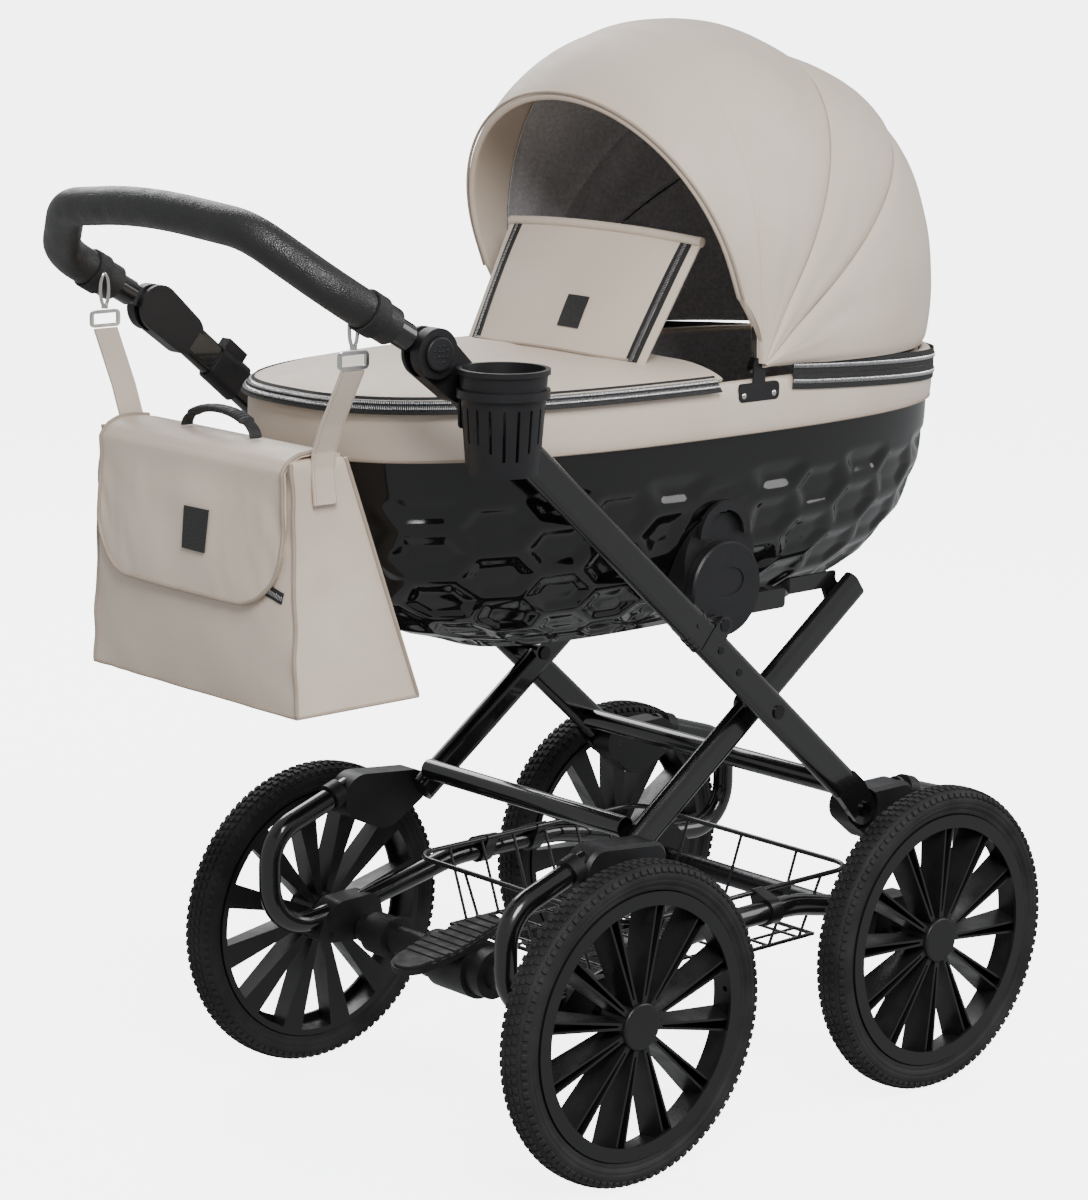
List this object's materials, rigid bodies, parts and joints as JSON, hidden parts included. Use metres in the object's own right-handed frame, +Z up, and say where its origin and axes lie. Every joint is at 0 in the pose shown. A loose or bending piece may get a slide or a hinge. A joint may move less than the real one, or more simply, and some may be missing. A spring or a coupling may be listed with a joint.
{
  "type": "bassinet pram",
  "caption": "Pram with a lift-off hooded carrycot on a folding spring-sprung frame, spoked wheels, swivelling push handle, hanging bag and cup holder",
  "frame": {"origin": "on the floor under the middle of the bounding box", "axes": "+X towards the carrycot's hood end, the long way of the pram; -Y the side with the cup holder; +Z up"},
  "size_m": [1.0995, 0.6146, 1.1959],
  "materials": {
    "tyre_rubber": "matte black rubber",
    "rim_black": "satin black moulding",
    "tube_black": "gloss black paint",
    "axle_black": "satin black paint",
    "block_black": "satin black moulding",
    "bolt_steel": "satin steel",
    "wire_black": "black wire",
    "pad_rubber": "ribbed black rubber",
    "grip_leather": "beige grained leather",
    "button_black": "dimpled black moulding",
    "cup_black": "gloss black moulding",
    "chrome": "bright chrome",
    "strap_leather": "beige stitched leather",
    "bag_leather": "beige fine-grained leather",
    "ribbon_black": "black ribbed webbing",
    "shell_black": "gloss black shell",
    "lining_grey": "grey woven lining",
    "hood_leather": "beige fine-grained leather"
  },
  "bodies": {
    "chassis": {"side_tube_right": "tube_black", "side_tube_left": "tube_black", "front_axle": "axle_black", "rear_axle": "axle_black", "axle_brackets": "block_black", "front_spring_blocks": "block_black", "rear_spring_blocks": "block_black", "basket": "wire_black", "chassis_bolts": "bolt_steel", "brake_housing": "block_black"},
    "wheel_front_right": {"tyre_front_right": "tyre_rubber", "rim_front_right": "rim_black", "hub_cap_front_right": "block_black"},
    "wheel_front_left": {"tyre_front_left": "tyre_rubber", "rim_front_left": "rim_black", "hub_cap_front_left": "block_black"},
    "wheel_rear_right": {"tyre_rear_right": "tyre_rubber", "rim_rear_right": "rim_black", "hub_cap_rear_right": "block_black"},
    "wheel_rear_left": {"tyre_rear_left": "tyre_rubber", "rim_rear_left": "rim_black", "hub_cap_rear_left": "block_black"},
    "brake": {"brake_pedal": "block_black", "brake_pad": "pad_rubber"},
    "fore_frame": {"front_legs": "tube_black", "front_brace": "tube_black", "leg_bolts": "bolt_steel"},
    "rear_frame": {"rear_legs": "tube_black"},
    "seat_frame": {"seat_bars": "tube_black", "adapters": "block_black"},
    "arms": {"push_arm_right": "tube_black", "push_arm_left": "tube_black", "handle_joint_housings": "block_black", "cup_clip": "block_black"},
    "collars": {"lock_collars": "block_black"},
    "handle": {"handle_bar": "tube_black", "handle_grip": "grip_leather", "bag_hooks": "chrome"},
    "right_button": {"button_right": "button_black"},
    "left_button": {"button_left": "button_black"},
    "cup": {"cup_holder": "cup_black"},
    "rings": {"strap_rings": "chrome"},
    "bag": {"bag_body": "bag_leather", "bag_straps": "strap_leather"},
    "flap": {"bag_flap": "bag_leather"},
    "carry": {"bag_handle": "ribbon_black"},
    "carrycot": {"cot_shell": "shell_black", "cot_band": "hood_leather", "cot_lining": "lining_grey", "mattress": "lining_grey", "cot_receivers": "block_black", "hood_brackets": "block_black", "canopy": "hood_leather"},
    "release": {"release_handles": "block_black"},
    "apron_cover": {"apron": "hood_leather"},
    "screen": {"windscreen": "hood_leather"},
    "rear_bow": {"bow_rear": "axle_black"},
    "middle_bow": {"bow_middle": "axle_black"},
    "front_bow": {"bow_front": "axle_black", "visor": "hood_leather"}
  },
  "joints": [
    {"name": "spin_front_right", "type": "hinge", "parent": "chassis", "child": "wheel_front_right", "pos_m": [0.36965, -0.2486, 0.1775], "axis": [0, 1, 0], "continuous": true},
    {"name": "spin_front_left", "type": "hinge", "parent": "chassis", "child": "wheel_front_left", "pos_m": [0.36965, 0.2876, 0.1775], "axis": [0, 1, 0], "continuous": true},
    {"name": "spin_rear_right", "type": "hinge", "parent": "chassis", "child": "wheel_rear_right", "pos_m": [-0.10565, -0.2486, 0.1775], "axis": [0, 1, 0], "continuous": true},
    {"name": "spin_rear_left", "type": "hinge", "parent": "chassis", "child": "wheel_rear_left", "pos_m": [-0.10565, 0.2876, 0.1775], "axis": [0, 1, 0], "continuous": true},
    {"name": "brake_press", "type": "hinge", "parent": "chassis", "child": "brake", "pos_m": [-0.10565, 0.0195, 0.1775], "axis": [0, 1, 0], "range_deg": [-12, 0]},
    {"name": "front_leg_swing", "type": "hinge", "parent": "chassis", "child": "fore_frame", "pos_m": [0.304, 0.0195, 0.33], "axis": [0, 1, 0], "range_deg": [-27, 0]},
    {"name": "frame_fold", "type": "hinge", "parent": "fore_frame", "child": "arms", "pos_m": [0.0702, 0.0195, 0.5749], "axis": [0, 1, 0], "range_deg": [0, 170]},
    {"name": "leg_cross", "type": "hinge", "parent": "fore_frame", "child": "rear_frame", "pos_m": [0.157, 0.0195, 0.466], "axis": [0, 1, 0], "range_deg": [0, 41.6]},
    {"name": "seat_level", "type": "hinge", "parent": "rear_frame", "child": "seat_frame", "pos_m": [0.307, 0.0195, 0.568], "axis": [0, 1, 0], "range_deg": [-14.6, 0]},
    {"name": "collar_lock", "type": "slide", "parent": "arms", "child": "collars", "axis": [0.7629, 0, -0.6465], "range_m": [0, 0.008]},
    {"name": "handle_angle", "type": "hinge", "parent": "arms", "child": "handle", "pos_m": [-0.358, 0.0195, 0.905], "axis": [0, 1, 0], "range_deg": [-25, 20]},
    {"name": "button_right_press", "type": "slide", "parent": "arms", "child": "right_button", "axis": [0, 1, 0], "range_m": [0, 0.002], "stiffness_N_per_m": 600},
    {"name": "button_left_press", "type": "slide", "parent": "arms", "child": "left_button", "axis": [0, -1, 0], "range_m": [0, 0.002], "stiffness_N_per_m": 600},
    {"name": "cup_lift", "type": "slide", "parent": "arms", "child": "cup", "axis": [0, 0, 1], "range_m": [0, 0.12]},
    {"name": "ring_swing", "type": "hinge", "parent": "handle", "child": "rings", "pos_m": [-0.436, 0.0195, 0.9126], "axis": [0, 1, 0], "range_deg": [-20, 25]},
    {"name": "bag_unhook", "type": "slide", "parent": "rings", "child": "bag", "axis": [-0.9659, 0, -0.2588], "range_m": [0, 0.48]},
    {"name": "bag_flap_open", "type": "hinge", "parent": "bag", "child": "flap", "pos_m": [-0.408, 0.0195, 0.8025], "axis": [0, 1, 0], "range_deg": [0, 95]},
    {"name": "bag_handle_fold", "type": "hinge", "parent": "flap", "child": "carry", "pos_m": [-0.429, 0.0195, 0.8064], "axis": [0, 1, 0], "range_deg": [0, 80]},
    {"name": "cot_lift", "type": "slide", "parent": "seat_frame", "child": "carrycot", "axis": [0, 0, 1], "range_m": [0, 0.35]},
    {"name": "release_lift", "type": "slide", "parent": "carrycot", "child": "release", "axis": [0, 0, 1], "range_m": [0, 0.012]},
    {"name": "apron_lift", "type": "slide", "parent": "carrycot", "child": "apron_cover", "axis": [-0.5, 0, 0.866], "range_m": [0, 0.2]},
    {"name": "screen_fold", "type": "hinge", "parent": "apron_cover", "child": "screen", "pos_m": [0.009, 0.0195, 0.849], "axis": [0, 1, 0], "range_deg": [-112, 8]},
    {"name": "hood_fold", "type": "hinge", "parent": "carrycot", "child": "rear_bow", "pos_m": [0.127, 0.0195, 0.85], "axis": [0, 1, 0], "range_deg": [0, 30], "deforming": ["canopy"]},
    {"name": "middle_bow_fold", "type": "hinge", "parent": "rear_bow", "child": "middle_bow", "pos_m": [0.127, 0.0195, 0.85], "axis": [0, 1, 0], "range_deg": [0, 13.9]},
    {"name": "front_bow_fold", "type": "hinge", "parent": "middle_bow", "child": "front_bow", "pos_m": [0.127, 0.0195, 0.85], "axis": [0, 1, 0], "range_deg": [0, 27.5]}
  ],
  "couplings": [
    {"joint": "front_leg_swing", "follows": "frame_fold", "ratio": -0.15882},
    {"joint": "leg_cross", "follows": "frame_fold", "ratio": 0.24471},
    {"joint": "seat_level", "follows": "frame_fold", "ratio": -0.085882},
    {"joint": "ring_swing", "follows": "handle_angle", "ratio": -1},
    {"joint": "bag_unhook", "follows": "frame_fold", "m_per_rad": 0.16},
    {"joint": "middle_bow_fold", "follows": "hood_fold", "ratio": 0.46},
    {"joint": "front_bow_fold", "follows": "hood_fold", "ratio": 0.913}
  ]
}
